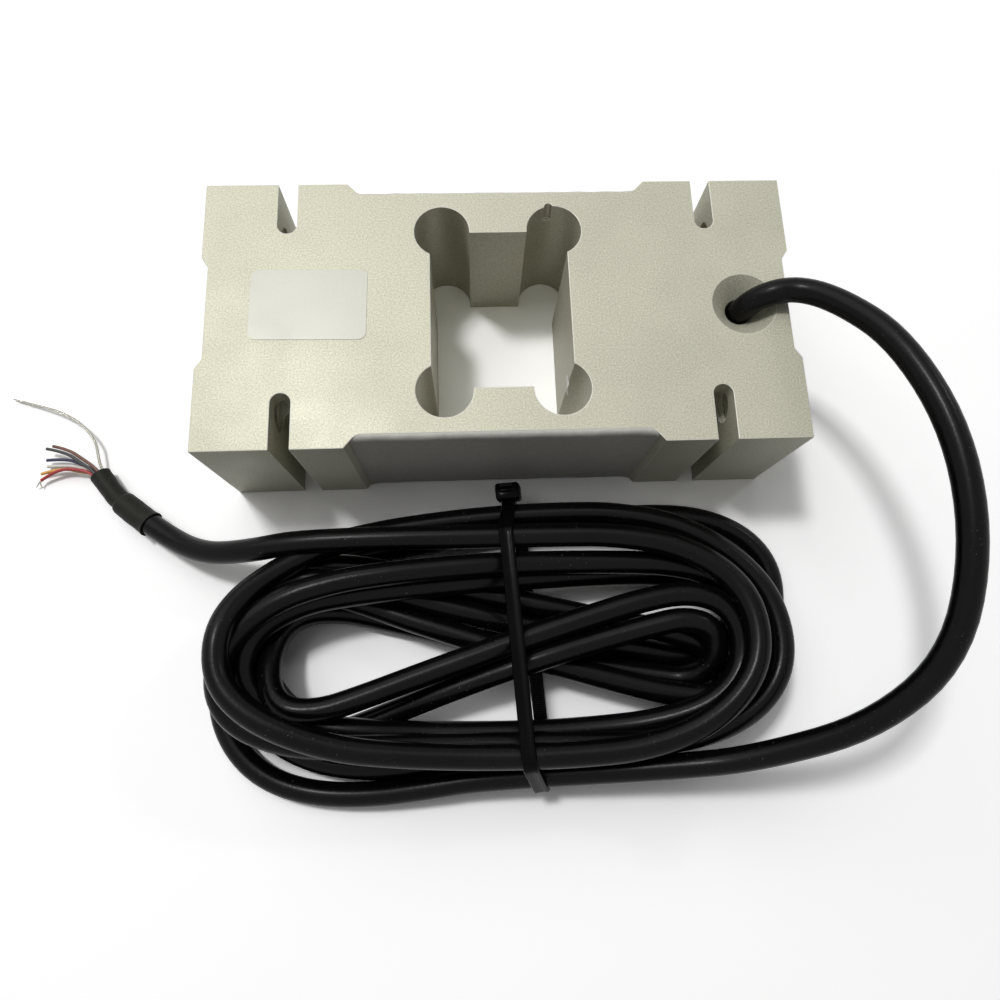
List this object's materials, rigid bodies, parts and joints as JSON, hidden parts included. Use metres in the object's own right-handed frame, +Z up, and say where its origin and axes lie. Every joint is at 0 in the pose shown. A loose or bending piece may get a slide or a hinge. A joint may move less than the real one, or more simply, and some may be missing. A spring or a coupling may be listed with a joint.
{
  "type": "single point load cell",
  "caption": "Machined aluminium bending-beam load cell with a lobed central cut-out, sealed gauge recesses, tapped end pads and a tied coil of flying-lead cable.",
  "frame": {"origin": "middle of the elastic body's underside, on the surface it rests on", "axes": "+X along the body towards the cable end, +Z up through the cut-out, +Y away from the cable coil"},
  "size_m": [0.2443, 0.1578, 0.0625],
  "materials": {
    "machined_aluminium": "fine matt anodised",
    "grey_sealant": "dull",
    "dark_sealant": "dull",
    "gauge_foil": "polyimide film with foil grid",
    "board_laminate": "bare laminate",
    "resistor_body": "matt",
    "lead_copper": "enamelled wire bundle",
    "plate_film": "silver satin film",
    "cable_jacket": "semi-gloss soft jacket",
    "tie_nylon": "glossy nylon",
    "shrink_sleeve": "matt shrink tubing",
    "core_brown": "insulated core",
    "core_black": "insulated core",
    "core_blue": "insulated core",
    "core_white": "insulated core",
    "core_yellow": "insulated core",
    "core_red": "insulated core",
    "tinned_strand": "tinned twisted strand"
  },
  "bodies": {
    "root": {"elastic_body": "machined_aluminium", "front_gauge_sealant": "grey_sealant", "rear_gauge_coating": "grey_sealant", "cable_bore_sealant": "dark_sealant", "strain_gauge_front_left": "gauge_foil", "strain_gauge_front_right": "gauge_foil", "strain_gauge_rear_left": "gauge_foil", "strain_gauge_rear_right": "gauge_foil", "terminal_board_front": "board_laminate", "terminal_board_rear": "board_laminate", "compensation_resistor": "resistor_body", "gauge_leads_front": "lead_copper", "gauge_leads_rear": "lead_copper", "rating_plate": "plate_film", "cable_lead": "cable_jacket", "cable_coil": "cable_jacket", "cable_tail": "cable_jacket", "cable_tie": "tie_nylon", "outer_sleeve": "shrink_sleeve", "inner_sleeve": "shrink_sleeve", "wire_brown": "core_brown", "wire_black": "core_black", "wire_blue": "core_blue", "wire_white": "core_white", "wire_yellow": "core_yellow", "wire_red": "core_red", "drain_wire": "tinned_strand", "bare_strands": "tinned_strand"}
  },
  "joints": []
}
